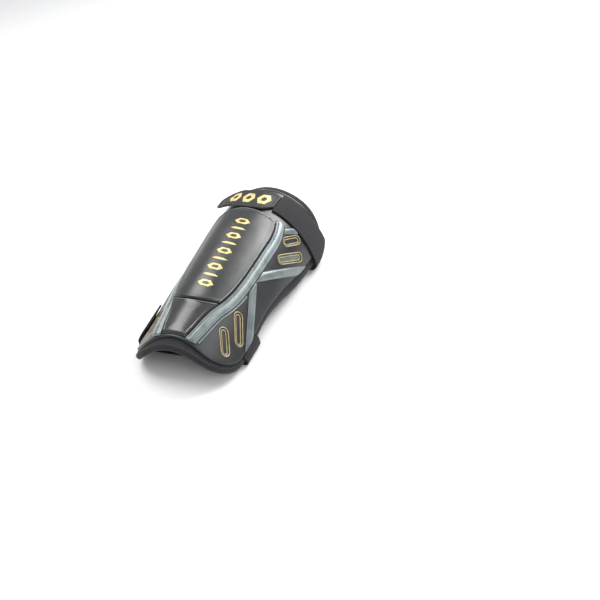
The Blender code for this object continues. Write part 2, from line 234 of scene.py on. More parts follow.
def makeTube(name, points, closeRows=False, sharp=50):
    # a closed profile carried along a path, its ends capped
    rows, columns = points.shape[:2]
    faces = gridFaces(rows, columns, 0, closeRows, True).tolist()
    if not closeRows:
        faces.append(list(range(columns)))
        faces.append(list(range((rows - 1) * columns, rows * columns))[::-1])
    return makeObject(name, points.reshape(-1, 3), faces, sharp=sharp)


def joinPieces(name, parts):
    bpy.ops.object.select_all(action="DESELECT")
    for part in parts:
        part.select_set(True)
    bpy.context.view_layer.objects.active = parts[0]
    bpy.ops.object.join()
    parts[0].name = name
    return parts[0]


def finishPiece(piece, material, slot, *nodes):
    piece.data.materials.clear()
    piece.data.materials.append(material)
    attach(piece, "root")
    if nodes:
        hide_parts(*nodes)
    return piece


# Materials

def toLinear(code):
    # sRGB hex to linear light
    value = np.array([int(code[i:i + 2], 16) for i in (1, 3, 5)]) / 255
    linear = np.where(value <= 0.04045, value / 12.92, ((value + 0.055) / 1.055) ** 2.4)
    return (*linear.tolist(), 1.0)


def addNode(tree, kind, settings=None, inputs=None):
    node = tree.nodes.new(kind)
    for key, value in (settings or {}).items():
        setattr(node, key, value)
    for key, value in (inputs or {}).items():
        if isinstance(value, bpy.types.NodeSocket):
            tree.links.new(value, node.inputs[key])
        else:
            node.inputs[key].default_value = value
    return node


def startMaterial(name, sockets):
    material = bpy.data.materials.new(name)
    material.use_nodes = True
    tree = material.node_tree
    shader = tree.nodes["Principled BSDF"]
    for key, value in sockets.items():
        shader.inputs[key].default_value = value
    return material, tree, shader


def makeRamp(tree, factor, low, high, colours):
    ramp = addNode(tree, "ShaderNodeValToRGB", None, {"Fac": factor})
    ramp.color_ramp.elements[0].position = low
    ramp.color_ramp.elements[1].position = high
    for element, colour in zip(ramp.color_ramp.elements, colours):
        element.color = toLinear(colour)
    return ramp


def mouldedPlastic(name, look):
    # injection moulded plastic: fine grain, faint cloudy gloss and rubbed spots
    material, tree, shader = startMaterial(name, {"IOR": 1.5, "Specular IOR Level": look["specular"]})
    place = addNode(tree, "ShaderNodeTexCoord").outputs["Object"]
    cloud = addNode(tree, "ShaderNodeTexNoise", None,
                    {"Vector": place, "Scale": 1 / look["cloudSize"], "Detail": 4.0})
    grain = addNode(tree, "ShaderNodeTexNoise", None,
                    {"Vector": place, "Scale": 1 / look["grainSize"], "Detail": 2.0})
    ramp = makeRamp(tree, cloud.outputs["Fac"], 0.3, 0.7, (look["dark"], look["light"]))
    tree.links.new(ramp.outputs["Color"], shader.inputs["Base Color"])
    rough = addNode(tree, "ShaderNodeMapRange", None, {
        "Value": cloud.outputs["Fac"], "From Min": 0.3, "From Max": 0.7,
        "To Min": look["roughness"] - look["roughSpread"],
        "To Max": look["roughness"] + look["roughSpread"]})
    tree.links.new(rough.outputs["Result"], shader.inputs["Roughness"])
    bump = addNode(tree, "ShaderNodeBump", None, {
        "Height": grain.outputs["Fac"], "Strength": look["grainStrength"],
        "Distance": look["grainDepth"]})
    tree.links.new(bump.outputs["Normal"], shader.inputs["Normal"])
    if "coat" in look:
        shader.inputs["Coat Weight"].default_value = look["coat"]
        shader.inputs["Coat Roughness"].default_value = look["coatRoughness"]
    if "metallic" in look:
        shader.inputs["Metallic"].default_value = look["metallic"]
    return material


def wovenCloth(name, look):
    # threads both ways from the piece's own lay, in metres, with lint and a soft sheen
    material, tree, shader = startMaterial(name, {
        "Sheen Weight": look["sheen"], "Sheen Roughness": 0.5, "Roughness": 0.9})
    lay = addNode(tree, "ShaderNodeUVMap", {"uv_map": "lay"}).outputs["UV"]
    place = addNode(tree, "ShaderNodeTexCoord").outputs["Object"]
    waves = []
    for direction, pitch in (("X", look["alongPitch"]), ("Y", look["acrossPitch"])):
        # a wave texture repeats each pi / 10 / scale
        waves.append(addNode(tree, "ShaderNodeTexWave", {"bands_direction": direction}, {
            "Vector": lay, "Scale": math.pi / 10 / pitch, "Distortion": look["wobble"],
            "Detail": 1.0, "Detail Scale": 2.0}))
    weave = addNode(tree, "ShaderNodeMath", {"operation": look["mix"]}, {
        0: waves[0].outputs["Fac"], 1: waves[1].outputs["Fac"]})
    lint = addNode(tree, "ShaderNodeTexNoise", None,
                   {"Vector": place, "Scale": 1 / look["lintSize"], "Detail": 5.0})
    height = addNode(tree, "ShaderNodeMath", {"operation": "MULTIPLY_ADD"}, {
        0: lint.outputs["Fac"], 1: look["lintHeight"], 2: weave.outputs["Value"]})
    tone = addNode(tree, "ShaderNodeMath", {"operation": "MULTIPLY_ADD"}, {
        0: weave.outputs["Value"], 1: look["weaveTone"], 2: lint.outputs["Fac"]})
    ramp = makeRamp(tree, tone.outputs["Value"], 0.35, 1.1, (look["dark"], look["light"]))
    tree.links.new(ramp.outputs["Color"], shader.inputs["Base Color"])
    bump = addNode(tree, "ShaderNodeBump", None, {
        "Height": height.outputs["Value"], "Strength": look["strength"], "Distance": look["depth"]})
    tree.links.new(bump.outputs["Normal"], shader.inputs["Normal"])
    return material


# ABS shell, injection moulded in a finely spark-eroded tool: a soft, broad satin highlight.
# All grains below are 0.3 to 0.9 mm; real mould grain is near 0.1 mm, too fine to show here
satinAbs = mouldedPlastic("satin_black_abs", {
    "dark": "#18191b", "light": "#232426", "specular": 0.65, "roughness": 0.36, "roughSpread": 0.05,
    "cloudSize": 18 * mm, "grainSize": 0.7 * mm, "grainStrength": 0.35, "grainDepth": 0.06 * mm})
# the same ABS from a smoother part of the tool: a tighter highlight on the raised panel
panelAbs = mouldedPlastic("satin_panel_abs", {
    "dark": "#1e1f1f", "light": "#2a2b2b", "specular": 0.8, "roughness": 0.33, "roughSpread": 0.05,
    "cloudSize": 22 * mm, "grainSize": 0.7 * mm, "grainStrength": 0.3, "grainDepth": 0.05 * mm})
# ABS from a polished tool: the glossiest black of the guard
glossAbs = mouldedPlastic("gloss_black_abs", {
    "dark": "#202120", "light": "#2b2c2a", "specular": 0.8, "roughness": 0.27, "roughSpread": 0.04,
    "cloudSize": 25 * mm, "grainSize": 0.9 * mm, "grainStrength": 0.15, "grainDepth": 0.04 * mm})
# lacquer with fine metal flake sprayed on ABS: a cool silver that shines along its edges
silverPaint = mouldedPlastic("silver_lacquer_on_abs", {
    "dark": "#6e7879", "light": "#8a9293", "specular": 0.5, "roughness": 0.30, "roughSpread": 0.05,
    "cloudSize": 9 * mm, "grainSize": 0.5 * mm, "grainStrength": 0.12, "grainDepth": 0.02 * mm,
    "metallic": 0.35, "coat": 0.3, "coatRoughness": 0.25})
# the same silver lacquer as a darker, duller copy on the ribs: painted shade that holds down the light
# their slope catches
shadedRibPaint = mouldedPlastic("silver_lacquer_painted_shade", {
    "dark": "#5f696a", "light": "#7a8283", "specular": 0.5, "roughness": 0.34, "roughSpread": 0.04,
    "cloudSize": 14 * mm, "grainSize": 0.5 * mm, "grainStrength": 0.1, "grainDepth": 0.02 * mm,
    "metallic": 0.3, "coat": 0.3, "coatRoughness": 0.25})
# pad-printed gold ink: pale, slightly metallic, softly uneven
goldPaint = mouldedPlastic("gold_pad_print", {
    "dark": "#cbb676", "light": "#e6d69a", "specular": 0.5, "roughness": 0.38, "roughSpread": 0.06,
    "cloudSize": 5 * mm, "grainSize": 0.4 * mm, "grainStrength": 0.3, "grainDepth": 0.03 * mm,
    "metallic": 0.25})
# light grey on the panel's moulded edge beads: a painted highlight, so that the edge shows as a thin
# bright line
highlightEdgeAbs = mouldedPlastic("painted_highlight_edge_abs", {
    "dark": "#6c706f", "light": "#8b8f8e", "specular": 0.8, "roughness": 0.28, "roughSpread": 0.05,
    "cloudSize": 7 * mm, "grainSize": 0.4 * mm, "grainStrength": 0.2, "grainDepth": 0.02 * mm})
# near-black strip laid along the panel's side: painted shade for the groove's shadow, with hardly any
# gloss
shadeGrooveAbs = mouldedPlastic("painted_shade_groove_abs", {
    "dark": "#0b0b0c", "light": "#151516", "specular": 0.3, "roughness": 0.6, "roughSpread": 0.05,
    "cloudSize": 7 * mm, "grainSize": 0.5 * mm, "grainStrength": 0.3, "grainDepth": 0.03 * mm})
# thin gold lacquer on the slot edges: duller than the print
ringPaint = mouldedPlastic("dull_gold_lacquer", {
    "dark": "#9a8c66", "light": "#c0b288", "specular": 0.5, "roughness": 0.4, "roughSpread": 0.06,
    "cloudSize": 5 * mm, "grainSize": 0.4 * mm, "grainStrength": 0.3, "grainDepth": 0.03 * mm,
    "metallic": 0.3})
# lighter grey-green in the slot's bottom: a painted reflection of the glossy floor, dull and cool
reflectionFloorPaint = mouldedPlastic("painted_reflection_grey_green", {
    "dark": "#4c544f", "light": "#69716a", "specular": 0.5, "roughness": 0.45, "roughSpread": 0.05,
    "cloudSize": 6 * mm, "grainSize": 0.5 * mm, "grainStrength": 0.3, "grainDepth": 0.05 * mm})
# thermoplastic rubber, injection moulded: matt, with a fine skin-like grain
tabRubber = mouldedPlastic("moulded_tpr_rubber", {
    "dark": "#1c1c1d", "light": "#292929", "specular": 0.45, "roughness": 0.55, "roughSpread": 0.06,
    "cloudSize": 12 * mm, "grainSize": 0.5 * mm, "grainStrength": 0.5, "grainDepth": 0.08 * mm})
# twisted nylon thread: matt, a little lighter than the knit
thread = mouldedPlastic("charcoal_nylon_thread", {
    "dark": "#3a3a3c", "light": "#525254", "specular": 0.4, "roughness": 0.6, "roughSpread": 0.05,
    "cloudSize": 3 * mm, "grainSize": 0.3 * mm, "grainStrength": 0.5, "grainDepth": 0.05 * mm})
# brushed polyester knit glued to foam: dull and slightly hairy;
# its 0.5 mm loops are drawn at 1.1 mm so that they show
knitFabric = wovenCloth("charcoal_brushed_knit", {
    "dark": "#161618", "light": "#2a2a2d", "sheen": 0.08,
    "alongPitch": 1.1 * mm, "acrossPitch": 1.1 * mm,
    "wobble": 1.2, "mix": "MULTIPLY", "lintSize": 2.2 * mm, "lintHeight": 0.6, "weaveTone": 0.45,
    "strength": 0.55, "depth": 0.25 * mm})
# woven polyester and rubber webbing: matt and ribbed, cords 1.5 mm apart run along it,
# picks 1.0 mm apart across
elasticWeb = wovenCloth("black_elastic_webbing", {
    "dark": "#0f0f11", "light": "#232326", "sheen": 0.06,
    "alongPitch": 1.0 * mm, "acrossPitch": 1.5 * mm,
    "wobble": 0.6, "mix": "ADD", "lintSize": 1.6 * mm, "lintHeight": 0.5, "weaveTone": 0.3,
    "strength": 0.6, "depth": 0.3 * mm})
print("materials ready")


# Padded backing

def cornersFor(bare):
    # the elliptic corners, drawn in by the bare border at each end
    low, high = (bare * sideBorder(y) for y in (guard["ankleEnd"], guard["length"]))
    return (tuple(value - low for value in guard["ankleCorner"]),
            tuple(value - high for value in guard["kneeCorner"]))


def insideOutline(s, y, bare, ankle, knee):
    # distance to the nearest edge of the pad drawn in by its borders, corners counted
    start = guard["ankleEnd"] + ankle
    end = guard["length"] - knee
    toSide = halfGirth(y) - bare * sideBorder(y) - np.abs(s)
    distance = np.minimum(np.minimum(y - start, end - y), toSide)
    for along, (a, b) in zip((y - start, end - y), cornersFor(bare)):
        reach = np.hypot(np.clip((a - toSide) / a, 0, None), np.clip((b - along) / b, 0, None))
        inCorner = (toSide < a) & (along < b)
        distance = np.where(inCorner, np.minimum(distance, (1 - reach) * min(a, b)), distance)
    return np.clip(distance, 0, None)


def outlineGrid(bare, ankle, knee, step, edge):
    # rows along the leg, crowded at the corners; s is the half width there times -1 to 1
    start = guard["ankleEnd"] + ankle
    length = guard["length"] - knee - start
    low, high = cornersFor(bare)
    turn = np.radians(np.linspace(0, 90, 34))
    first = low[1] * (1 - np.cos(turn))
    last = length - high[1] * (1 - np.cos(turn[::-1]))
    middle = np.linspace(low[1], length - high[1], int((length - low[1] - high[1]) / step))
    row = np.concatenate([first, middle[1:-1], last])
    half = halfGirth(row + start) - bare * sideBorder(row + start)
    half = half - cornerCut(row, low) - cornerCut(length - row, high)
    nominal = guard["kneeHalfGirth"] * guard["wide"]
    across = spread(2 * nominal, step, edge) / nominal - 1
    s = half[:, None] * across
    y = np.repeat((row + start)[:, None], len(across), 1)
    return s, y


padding = {
    "step": 1.6 * mm,
    "rim": 2.9 * mm,
    "stitchIn": 3.0 * mm,
    "channelDepth": 0.5 * mm,
    "channelWidth": 1.1 * mm,
    "borderSwell": 0.7 * mm,
    "borderFrom": 7.0 * mm,
    "borderTo": 4.6 * mm,
    "liningSwell": 0.2 * mm,
    "liningWaves": (7 * mm, 8 * mm),
    "liningFrom": 6 * mm,
    "liningTo": 12 * mm,
    "fill": 0.9,
}


def makePadding():
    # two faces a pad's thickness apart that close in a quarter circle at the rim; the outer one
    # swells along the bare border and sinks at the stitches, the inner one waves softly
    s, y = outlineGrid(0, 0, 0, padding["step"], padding["rim"])
    inside = insideOutline(s, y, 0, 0, 0)
    full = roundEdge(inside, padding["rim"])
    middle = -guard["padThickness"] / 2
    channel = np.exp(-((inside - padding["stitchIn"]) / padding["channelWidth"]) ** 2)
    border = softStep(padding["borderFrom"], padding["borderTo"], inside)
    swell = padding["borderSwell"] * border - padding["channelDepth"] * channel
    high = middle * (1 - full) + full * swell * border
    wave = padding["liningWaves"]
    lining = padding["liningSwell"] * np.sin(s / wave[0]) * np.sin(y / wave[1])
    lining = lining * softStep(padding["liningFrom"], padding["liningTo"], inside)
    low = -guard["padThickness"] - middle * (1 - full)
    low = low + full * lining + padding["channelDepth"] * channel * full
    uv = np.stack([s, y], -1)
    piece = makeSlab("padded_backing", placeOnGuard(s, y, low), placeOnGuard(s, y, high), uv)
    finishPiece(piece, knitFabric, "pad_fabric", "foam_pad")


makePadding()
print("padding made")


# Hard shell with its slot recesses

shellLook = {
    "step": 1.15 * mm,
    "edge": 1.0 * mm,
    "archRise": 4.5 * mm,
    "archHalf": 24 * mm,
    "beadRise": 0.9 * mm,
    "beadIn": 2.6 * mm,
    "beadWidth": 1.2 * mm,
    "slotWidth": 10 * mm,
    "slotDepth": 0.9 * mm,
    "slotFrom": 0.2 * mm,
    "slotTo": 2.2 * mm,
    "edgeLow": 0.35,
    "slots": {
        "a": ((43.5, 65.0), (55.0, 45.5)),
        "b": ((38.5, 41.5), (48.0, 27.0)),
        "c": ((53.5, 151.0), (69.0, 173.0)),
        "d": ((49.0, 171.5), (57.0, 184.0)),
    },
}


def toSlot(s, y, ends):
    # distance from the line between a slot's two end centres, mirrored onto both flanks
    start, end = np.array(ends) * mm
    point = np.stack([np.abs(s), y], -1) - start
    along = end - start
    share = np.clip((point @ along) / (along @ along), 0, 1)
    return np.linalg.norm(point - share[..., None] * along, axis=-1)


def onShell():
    return 2 * guard["layerGap"] + guard["shellThickness"]


def makeShell():
    # the ankle end bows up in the middle by a bell curve that fades towards the seam; the top
    # face rounds off at its rim, has a bead along the knee edge, and sinks in each slot
    borders = (1, guard["borderAnkle"], guard["borderKnee"])
    s, y = outlineGrid(*borders, shellLook["step"], shellLook["edge"])
    inside = insideOutline(s, y, *borders)
    fade = np.clip(1 - (y - y[0]) / guard["panelSeam"], 0, 1)
    moved = y + shellLook["archRise"] * fade * np.exp(-(s / shellLook["archHalf"]) ** 2)
    rounded = shellLook["edgeLow"] + (1 - shellLook["edgeLow"]) * roundEdge(inside, shellLook["edge"])
    top = guard["shellThickness"] * rounded
    fromBead = y[-1, 0] - y - shellLook["beadIn"]
    top = top + shellLook["beadRise"] * np.exp(-(fromBead / shellLook["beadWidth"]) ** 2)
    for ends in shellLook["slots"].values():
        reach = shellLook["slotWidth"] / 2 - toSlot(s, moved, ends)
        top = top - shellLook["slotDepth"] * softStep(shellLook["slotFrom"], shellLook["slotTo"], reach)
    low = placeOnGuard(s, moved, guard["layerGap"])
    high = placeOnGuard(s, moved, guard["layerGap"] + top)
    piece = makeSlab("hard_shell_moulding", low, high)
    finishPiece(piece, satinAbs, "satin_shell", "hard_shell")


makeShell()
print("shell made")


# Centre panels

panelLook = {
    "halfGirth": 33.4 * mm,
    "start": 15.5 * mm,
    "seamDip": 6 * mm,
    "seamGap": 1.2 * mm,
    "end": 182 * mm,
    "endDrop": 3 * mm,
    "upperRise": 2.4 * mm,
    "lowerRise": 1.6 * mm,
    "edge": 1.5 * mm,
    "crown": 0.5 * mm,
    "upperLip": 0.35 * mm,
    "lowerLip": 0.5 * mm,
    "lipIn": 1.5 * mm,
    "lipWidth": 0.55 * mm,
    "step": 1.3 * mm,
    "edgeLow": 0.25,
    "usualWidth": 0.9,
    # share of length, half girth share
    "sides": (
        (0.05, 0.315),
        (0.11, 0.41),
        (0.17, 0.49),
        (0.22, 0.575),
        (0.27, 0.705),
        (0.32, 0.80),
        (0.40, 0.89),
        (0.50, 0.945),
        (0.60, 0.98),
        (0.66, 1.00),
        (0.72, 0.965),
        (0.77, 0.87),
        (0.80, 0.82),
    ),
}


def panelEdge(y):
    # half width of the centre panels at y
    return panelLook["halfGirth"] * readColumn(panelLook["sides"], 1, y / guard["length"])


def makePanel(name, start, end, drops, rise, lip, material, slot, node):
    # rows bow towards the ankle by drops[0] at the first row and drops[1] at the last, whose ends
    # draw back by drops[2]; the top rounds off at the rim, has a bell-curve lip, and crowns softly
    row = start + spread(end - start, panelLook["step"], panelLook["edge"])
    nominal = panelLook["halfGirth"] * panelLook["usualWidth"]
    across = spread(2 * nominal, panelLook["step"], panelLook["edge"]) / nominal - 1
    half = panelEdge(row)[:, None]
    s = half * across
    fade = ((row - start) / (end - start))[:, None]
    arch = 1 - across ** 2
    y = row[:, None] - arch * (drops[0] * (1 - fade) + drops[1] * fade)
    y = y - drops[2] * fade ** 6 * across ** 2
    inside = np.minimum(half - np.abs(s), np.minimum(row - start, end - row)[:, None])
    rounded = roundEdge(inside, panelLook["edge"])
    height = rise * (panelLook["edgeLow"] + (1 - panelLook["edgeLow"]) * rounded)
    height = height + panelLook["crown"] * softStep(0, half, inside)
    height = height + lip * np.exp(-((inside - panelLook["lipIn"]) / panelLook["lipWidth"]) ** 2)
    low = placeOnGuard(s, y, onShell())
    high = placeOnGuard(s, y, onShell() + height)
    return finishPiece(makeSlab(name, low, high), material, slot, node)


seam = guard["panelSeam"]
makePanel("upper_panel_moulding", seam + panelLook["seamGap"], panelLook["end"],
          (panelLook["seamDip"], 0, panelLook["endDrop"]), panelLook["upperRise"],
          panelLook["upperLip"], panelAbs, "satin_shell", "upper_panel")
makePanel("lower_panel_moulding", panelLook["start"], seam, (0, panelLook["seamDip"], 0),
          panelLook["lowerRise"], panelLook["lowerLip"], glossAbs, "gloss_panel", "lower_panel")
print("panels made")


# Silver rails, ribs, trim lines and stubs

silverLook = {
    "railWidth": 9.8 * mm,
    "railGroove": 1.0 * mm,
    "railRise": 2.0 * mm,
    "railStart": 14 * mm,
    "railEnd": 183 * mm,
    "ribWidth": 8.2 * mm,
    "ribRise": 1.9 * mm,
    "ribMargin": 0.5 * mm,
    "kneeRib": ((45.0, 118.0), (81.0, 168.0)),
    "ankleRib": ((43.5, 98.0), (64.5, 53.0)),
    "topStub": ((40.5, 177.0), (47.0, 185.0)),
    "stubWidth": 6.0 * mm,
    "stubRise": 1.2 * mm,
    "trimWidth": 1.5 * mm,
    "trimOffset": 0.9 * mm,
    "trimRise": 0.8 * mm,
    "trimStart": 16 * mm,
    "trimEnd": 88 * mm,
    "nose": 1.2 * mm,
    "noseLow": 0.3,
    "barReach": (-0.8, 1.8),
    # share of the width, share of the rise: ridge, groove, broad face, bevel
    "railProfile": (
        (0.00, 0.00),
        (0.01, 0.55),
        (0.04, 0.86),
        (0.09, 0.95),
        (0.14, 0.86),
        (0.18, 0.60),
        (0.22, 0.62),
        (0.27, 0.90),
        (0.36, 1.00),
        (0.55, 1.02),
        (0.74, 0.98),
        (0.84, 0.86),
        (0.93, 0.55),
        (0.99, 0.30),
        (1.00, 0.00),
    ),
    "ribProfile": (
        (0.00, 0.00),
        (0.01, 0.30),
        (0.07, 0.52),
        (0.20, 0.90),
        (0.26, 0.98),
        (0.50, 1.02),
        (0.74, 0.98),
        (0.80, 0.90),
        (0.93, 0.52),
        (0.99, 0.30),
        (1.00, 0.00),
    ),
}


def makeStrip(name, s, y, heights, base):
    # s and y hold one column for each profile point; both ends are rounded down
    travel = np.hypot(np.diff(s.mean(1)), np.diff(y.mean(1)))
    along = np.concatenate([[0], np.cumsum(travel)])
    toEnd = np.minimum(along, along[-1] - along)
    low = silverLook["noseLow"]
    nose = low + (1 - low) * roundEdge(toEnd, silverLook["nose"])
    points = placeOnGuard(s, y, base + heights * nose[:, None])
    return makeTube(name, points)


def denseShare(count):
    # shares from 0 to 1, crowded at both ends
    near = np.array([0, 0.003, 0.008, 0.015])
    return np.concatenate([near, np.linspace(0.022, 0.978, count), 1 - near[::-1]])


def makeRail(hand, side):
    row = silverLook["railStart"] + (silverLook["railEnd"] - silverLook["railStart"]) * denseShare(90)
    profile = np.array(silverLook["railProfile"])
    inner = panelEdge(row) + silverLook["railGroove"]
    s = side * (inner[:, None] + silverLook["railWidth"] * profile[:, 0])
    y = np.repeat(row[:, None], len(profile), 1)
    piece = makeStrip(f"rail_bar_{hand}", s, y, silverLook["railRise"] * profile[:, 1], onShell())
    finishPiece(piece, silverPaint, "silver", f"rail_{hand}")


def makeTrim(hand, side):
    row = silverLook["trimStart"] + (silverLook["trimEnd"] - silverLook["trimStart"]) * denseShare(50)
    profile = np.array(silverLook["ribProfile"])
    railOuter = panelEdge(row) + silverLook["railGroove"] + silverLook["railWidth"]
    inner = railOuter + silverLook["trimOffset"]
    s = side * (inner[:, None] + silverLook["trimWidth"] * profile[:, 0])
    y = np.repeat(row[:, None], len(profile), 1)
    piece = makeStrip(f"trim_bead_{hand}", s, y, silverLook["trimRise"] * profile[:, 1], onShell())
    finishPiece(piece, silverPaint, "silver", f"trim_line_{hand}")


# limits of the bars: each is positive where a bar may be

def pastRail(s, y):
    outer = panelEdge(y) + silverLook["railGroove"] + silverLook["railWidth"]
    return s - outer - guard["layerGap"]


def withinShell(s, y):
    return halfGirth(y) - sideBorder(y) - silverLook["ribMargin"] - s


def belowKneeRib(s, y):
    start, end = np.array(silverLook["kneeRib"]) * mm
    along = (end - start) / np.linalg.norm(end - start)
    across = along[1] * (s - start[0]) - along[0] * (y - start[1])
    return across - silverLook["ribWidth"] / 2 - guard["layerGap"]


def belowKneeStrap(s, y):
    edge = guard["kneeStrapY"] - guard["kneeStrapWidth"] / 2
    return edge - guard["layerGap"] - y


def makeBar(name, side, ends, width, rise, starts, stops, node):
    # parallel lines between two places, each run on until it meets its limits
    start, end = np.array(ends) * mm
    along = (end - start) / np.linalg.norm(end - start)
    across = np.array([along[1], -along[0]])
    profile = np.array(silverLook["ribProfile"])
    t = np.linspace(*silverLook["barReach"], 500)
    share = denseShare(26)
    columns = []
    for offset in width * (profile[:, 0] - 0.5):
        line = start + (end - start) * t[:, None] + across * offset
        free = np.min([limit(*line.T) for limit in starts], axis=0)
        room = np.min([limit(*line.T) for limit in stops], axis=0)
        first, last = np.interp(0, free, t), np.interp(0, -room, t)
        reach = first + (last - first) * share
        columns.append(start + (end - start) * reach[:, None] + across * offset)
    grid = np.stack(columns, 1)
    piece = makeStrip(name, side * grid[..., 0], grid[..., 1], rise * profile[:, 1], onShell())
    # the ribs and stubs take the darker silver copy, a painted shade
    finishPiece(piece, shadedRibPaint, "silver", node)


for hand, side in (("left", -1), ("right", 1)):
    makeRail(hand, side)
    makeTrim(hand, side)
    ribSize = (silverLook["ribWidth"], silverLook["ribRise"])
    makeBar(f"knee_rib_bar_{hand}", side, silverLook["kneeRib"], *ribSize,
            [pastRail], [withinShell], f"knee_rib_{hand}")
    makeBar(f"ankle_rib_bar_{hand}", side, silverLook["ankleRib"], *ribSize,
            [pastRail, belowKneeRib], [withinShell], f"ankle_rib_{hand}")
    makeBar(f"top_stub_bar_{hand}", side, silverLook["topStub"], silverLook["stubWidth"],
            silverLook["stubRise"], [pastRail], [belowKneeStrap], f"top_stub_{hand}")
print("silver bars made")


# Gold slot outlines

goldLook = {
    "lineWidth": 0.95 * mm,
    "lineRise": 0.55 * mm,
    "outerIn": 0.55 * mm,
    "innerIn": 2.6 * mm,
    "floorLift": 0.1 * mm,
}


def slotPath(ends, radius, points=14):
    # straight sides with a half circle at each end, in order round the slot
    start, end = np.array(ends) * mm
    heading = math.atan2(end[1] - start[1], end[0] - start[0])
    turn = np.radians(np.linspace(-90, 90, points)) + heading
    far = end + radius * np.stack([np.cos(turn), np.sin(turn)], -1)
    near = start - radius * np.stack([np.cos(turn), np.sin(turn)], -1)
    sides = [np.linspace(a, b, 18)[1:-1] for a, b in ((far[-1], near[0]), (near[-1], far[0]))]
    return np.concatenate([far, sides[0], near, sides[1]])


def loopLine(name, path, width, rise, side, base):
    # a half round bead carried round a closed path on the surface
    step = np.roll(path, -1, 0) - np.roll(path, 1, 0)
    step = step / np.linalg.norm(step, axis=1, keepdims=True)
    normal = np.stack([step[:, 1], -step[:, 0]], -1)
    angle = np.radians(np.linspace(0, 180, 7))
    offset = width / 2 * np.cos(angle)
    height = rise * np.sin(angle)
    grid = path[:, None, :] + normal[:, None, :] * offset[None, :, None]
    points = placeOnGuard(side * grid[..., 0], grid[..., 1], base + height)
    return makeTube(name, points, closeRows=True)


def makeSlotOutline(key, hand, side):
    ends = shellLook["slots"][key]
    outer = slotPath(ends, shellLook["slotWidth"] / 2 - goldLook["outerIn"])
    inner = slotPath(ends, shellLook["slotWidth"] / 2 - goldLook["innerIn"])
    size = (goldLook["lineWidth"], goldLook["lineRise"], side)
    floor = onShell() - guard["layerGap"]
    parts = [loopLine("outer", outer, *size, floor),
             loopLine("inner", inner, *size, floor - shellLook["slotDepth"])]
    piece = joinPieces(f"slot_outline_{key}_{hand}", parts)
    finishPiece(piece, ringPaint, "gold", f"slot_ring_{key}_{hand}")


for hand, side in (("left", -1), ("right", 1)):
    for key in shellLook["slots"]:
        makeSlotOutline(key, hand, side)
print("gold outlines made")


# Edge beads painted light as a highlight, and strips painted dark as shade in the grooves, along the
# panels

edgeLook = {
    "beadIn": 1.7 * mm,
    "beadWidth": 0.9 * mm,
    "beadHeight": 0.35 * mm,
    "grooveIn": 0.5 * mm,
    "grooveWidth": 1.4 * mm,
    "margin": 0.8 * mm,
    "upperLift": 0.1 * mm,
    "lowerLift": 0.2 * mm,
    "endWidth": 0.93,
    # share of the width, share of the height
    "beadProfile": (
        (0.00, -1.0),
        (0.06, 0.4),
        (0.25, 0.85),
        (0.50, 1.0),
        (0.75, 0.85),
        (0.94, 0.4),
        (1.00, -1.0),
    ),
    # share of the width, height above the shell
    "grooveProfile": (
        (0.00, 1.0 * mm),
        (0.03, 2.05 * mm),
        (0.15, 2.0 * mm),
        (0.30, 1.6 * mm),
        (0.40, 1.0 * mm),
        (0.95, 0.9 * mm),
        (1.00, 0.0 * mm),
    ),
}


def makeEdgeLines():
    bead = np.array(edgeLook["beadProfile"])
    groove = np.array(edgeLook["grooveProfile"])
    first = guard["panelSeam"] + panelLook["seamGap"] + edgeLook["margin"]
    last = panelLook["end"] - panelLook["endDrop"] - edgeLook["margin"]
    row = first + (last - first) * denseShare(90)
    top = onShell() + panelLook["upperRise"] + edgeLook["upperLift"]
    half = panelEdge(row)[:, None]
    beads, grooves = [], []
    beadHeights = edgeLook["beadHeight"] * bead[:, 1]
    for side in (-1, 1):
        s = half - edgeLook["beadIn"] + edgeLook["beadWidth"] * bead[:, 0]
        y = np.repeat(row[:, None], len(bead), 1)
        beads.append(makeStrip("side_bead", side * s, y, beadHeights, top))
        s = half - edgeLook["grooveIn"] + edgeLook["grooveWidth"] * groove[:, 0]
        y = np.repeat(row[:, None], len(groove), 1)
        grooves.append(makeStrip("side_groove", side * s, y, groove[:, 1], onShell()))
    across = edgeLook["endWidth"] * (2 * denseShare(50) - 1)[:, None]
    y = panelLook["end"] - panelLook["endDrop"] * across ** 2 - edgeLook["beadIn"]
    y = y + edgeLook["beadWidth"] * bead[:, 0]
    s = np.broadcast_to(panelEdge(panelLook["end"]) * across, y.shape)
    beads.append(makeStrip("knee_bead", s, y, beadHeights, top))
    y = guard["panelSeam"] - panelLook["seamDip"] * (1 - across ** 2) - edgeLook["beadIn"]
    y = y + edgeLook["beadWidth"] * bead[:, 0]
    s = np.broadcast_to(panelEdge(guard["panelSeam"]) * across, y.shape)
    base = onShell() + panelLook["lowerRise"] + edgeLook["lowerLift"]
    beads.append(makeStrip("seam_bead", s, y, beadHeights, base))
    # the beads carry a painted highlight, the groove strips painted shade
    finishPiece(joinPieces("panel_edge_beads_painted_highlight", beads), highlightEdgeAbs, "satin_shell")
    # near-black strips: painted shade where the groove between panel and rail falls dark
    finishPiece(joinPieces("panel_side_groove_shade", grooves), shadeGrooveAbs, "satin_shell")


makeEdgeLines()
print("panel edges made")


# Floor of the long knee-side slot, painted lighter grey-green as a reflection

